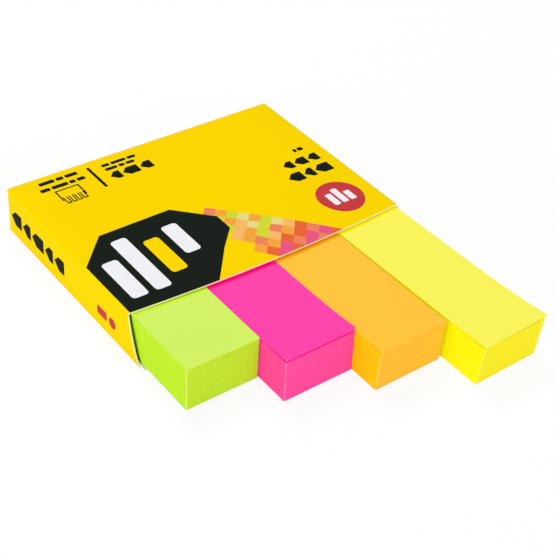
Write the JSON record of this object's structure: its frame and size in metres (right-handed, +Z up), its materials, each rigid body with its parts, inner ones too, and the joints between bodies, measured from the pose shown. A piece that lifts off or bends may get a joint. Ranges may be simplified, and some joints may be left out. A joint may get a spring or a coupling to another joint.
{
  "type": "sticky note index pack",
  "caption": "Pads of narrow sticky index notes in green, pink, orange and yellow, drawn out by different lengths from a flat yellow card sleeve that is open at one end.",
  "frame": {"origin": "on the ground, under the middle of the whole pack's box", "axes": "+Z up through the top panel, +Y along the pads towards the sleeve's closed end, +X across the sleeve towards the yellow pad"},
  "size_m": [0.0784, 0.107, 0.0125],
  "materials": {
    "sleeve_card": "yellow printed card with a light gloss, white cut edges and a plain white inside",
    "green_paper": "matte bright green paper, guillotined edges",
    "pink_paper": "matte bright pink paper, guillotined edges",
    "orange_paper": "matte bright orange paper, guillotined edges",
    "yellow_paper": "matte bright yellow paper, guillotined edges"
  },
  "bodies": {
    "root": {"card_sleeve": "sleeve_card", "green_pad": "green_paper", "pink_pad": "pink_paper", "orange_pad": "orange_paper", "yellow_pad": "yellow_paper"}
  },
  "joints": []
}
